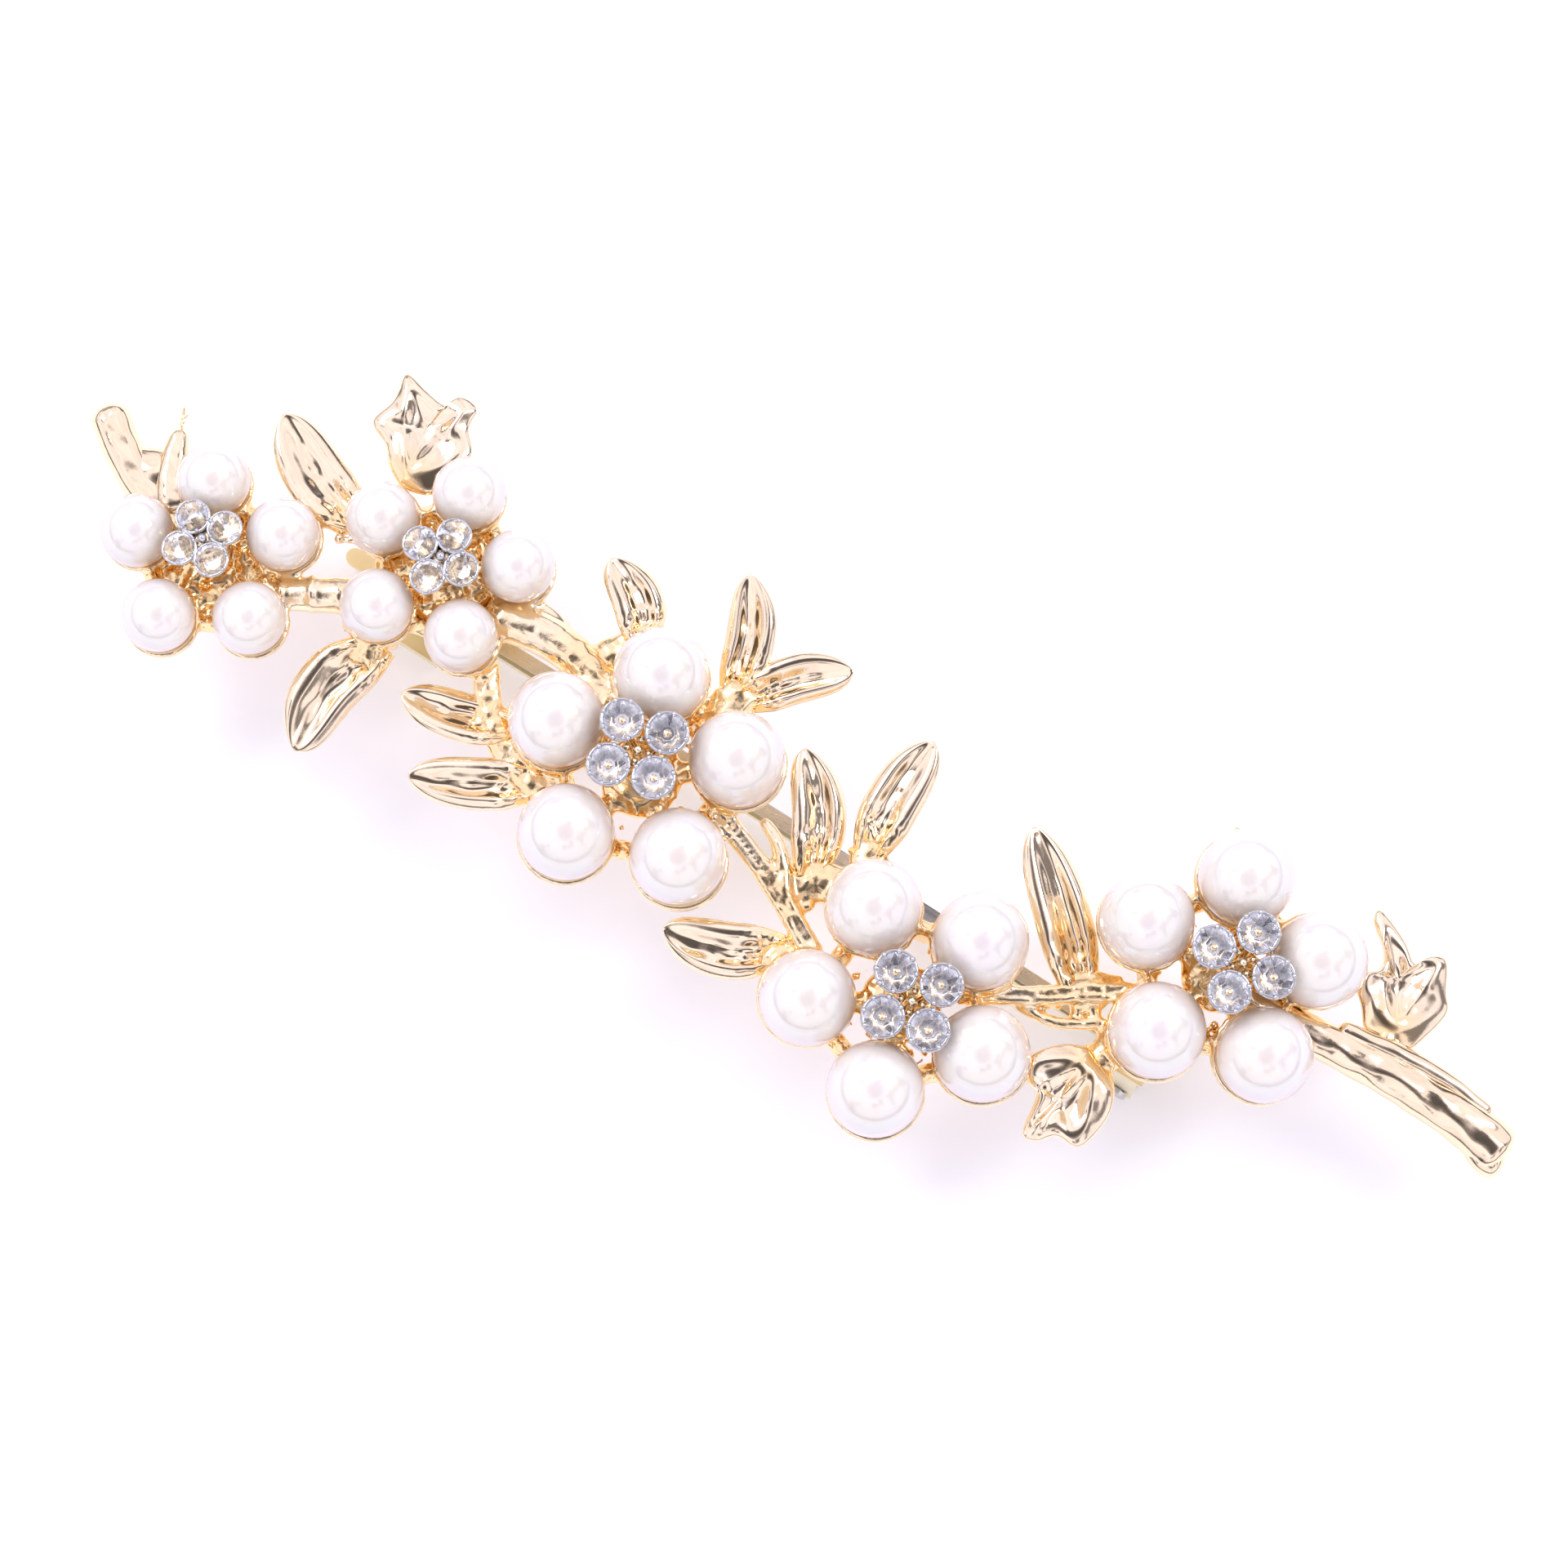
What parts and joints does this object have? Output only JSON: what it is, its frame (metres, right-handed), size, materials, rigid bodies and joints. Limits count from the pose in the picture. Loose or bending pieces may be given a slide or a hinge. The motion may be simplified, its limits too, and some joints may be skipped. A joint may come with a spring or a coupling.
{
  "type": "barrette",
  "caption": "Gold branch barrette with pearl flowers, faceted stones and dished leaves, on a slim French-type spring clip that closes over a lock of hair.",
  "frame": {"origin": "middle of the bounding box, at the height of the clip's feet, where it rests on a table", "axes": "+X along the clip arm from the thumb tab towards the hinge and the cut tail, +Y across it, +Z out of the decorated face"},
  "size_m": [0.0854, 0.026, 0.0143],
  "materials": {
    "gold_casting": "bright polished champagne-gold plating, darker amber in the granulated recesses",
    "pearl": "nacre-coated imitation pearl, glossy cream with a lavender-pink cast",
    "crystal": "clear faceted stone with a silver foil back",
    "setting_metal": "polished pale gold with silver-white prong tips",
    "pale_brass": "satin pale greenish brass plating",
    "spring_metal": "bright drawn spring steel"
  },
  "bodies": {
    "branch": {"branch_casting": "gold_casting", "pearl_1_1": "pearl", "pearl_1_2": "pearl", "pearl_1_3": "pearl", "pearl_1_4": "pearl", "pearl_1_5": "pearl", "pearl_2_1": "pearl", "pearl_2_2": "pearl", "pearl_2_3": "pearl", "pearl_2_4": "pearl", "pearl_2_5": "pearl", "pearl_3_1": "pearl", "pearl_3_2": "pearl", "pearl_3_3": "pearl", "pearl_3_4": "pearl", "pearl_3_5": "pearl", "pearl_4_1": "pearl", "pearl_4_2": "pearl", "pearl_4_3": "pearl", "pearl_4_4": "pearl", "pearl_4_5": "pearl", "pearl_5_1": "pearl", "pearl_5_2": "pearl", "pearl_5_3": "pearl", "pearl_5_4": "pearl", "pearl_5_5": "pearl", "stone_setting_1": "setting_metal", "stone_setting_2": "setting_metal", "stone_setting_3": "setting_metal", "stone_setting_4": "setting_metal", "stone_setting_5": "setting_metal", "stone_1_1": "crystal", "stone_1_2": "crystal", "stone_1_3": "crystal", "stone_1_4": "crystal", "stone_2_1": "crystal", "stone_2_2": "crystal", "stone_2_3": "crystal", "stone_2_4": "crystal", "stone_3_1": "crystal", "stone_3_2": "crystal", "stone_3_3": "crystal", "stone_3_4": "crystal", "stone_4_1": "crystal", "stone_4_2": "crystal", "stone_4_3": "crystal", "stone_4_4": "crystal", "stone_5_1": "crystal", "stone_5_2": "crystal", "stone_5_3": "crystal", "stone_5_4": "crystal", "hinge_bracket": "pale_brass", "hinge_pin": "spring_metal", "latch_plate": "pale_brass"},
    "arm": {"clip_arm": "pale_brass"},
    "spring": {"tension_spring": "spring_metal"},
    "prong_front": {"latch_prong_front": "pale_brass"},
    "prong_back": {"latch_prong_back": "pale_brass"}
  },
  "joints": [
    {"name": "arm_hinge", "type": "hinge", "parent": "branch", "child": "arm", "pos_m": [0.02277, 0.00024, 0.00115], "axis": [0, -1, 0], "range_deg": [0, 70]},
    {"name": "spring_flex", "type": "hinge", "parent": "arm", "child": "spring", "pos_m": [0.02107, 0.00024, 0.00175], "axis": [0, -1, 0], "range_deg": [0, 0.9], "stiffness_Nm_per_rad": 0.02},
    {"name": "latch_front_squeeze", "type": "hinge", "parent": "branch", "child": "prong_front", "pos_m": [-0.02363, -0.00029, 0.0061], "axis": [1, 0, 0], "range_deg": [0, 3], "stiffness_Nm_per_rad": 0.005},
    {"name": "latch_back_squeeze", "type": "hinge", "parent": "branch", "child": "prong_back", "pos_m": [-0.02363, 0.00076, 0.0061], "axis": [1, 0, 0], "range_deg": [-3, 0], "stiffness_Nm_per_rad": 0.005}
  ]
}
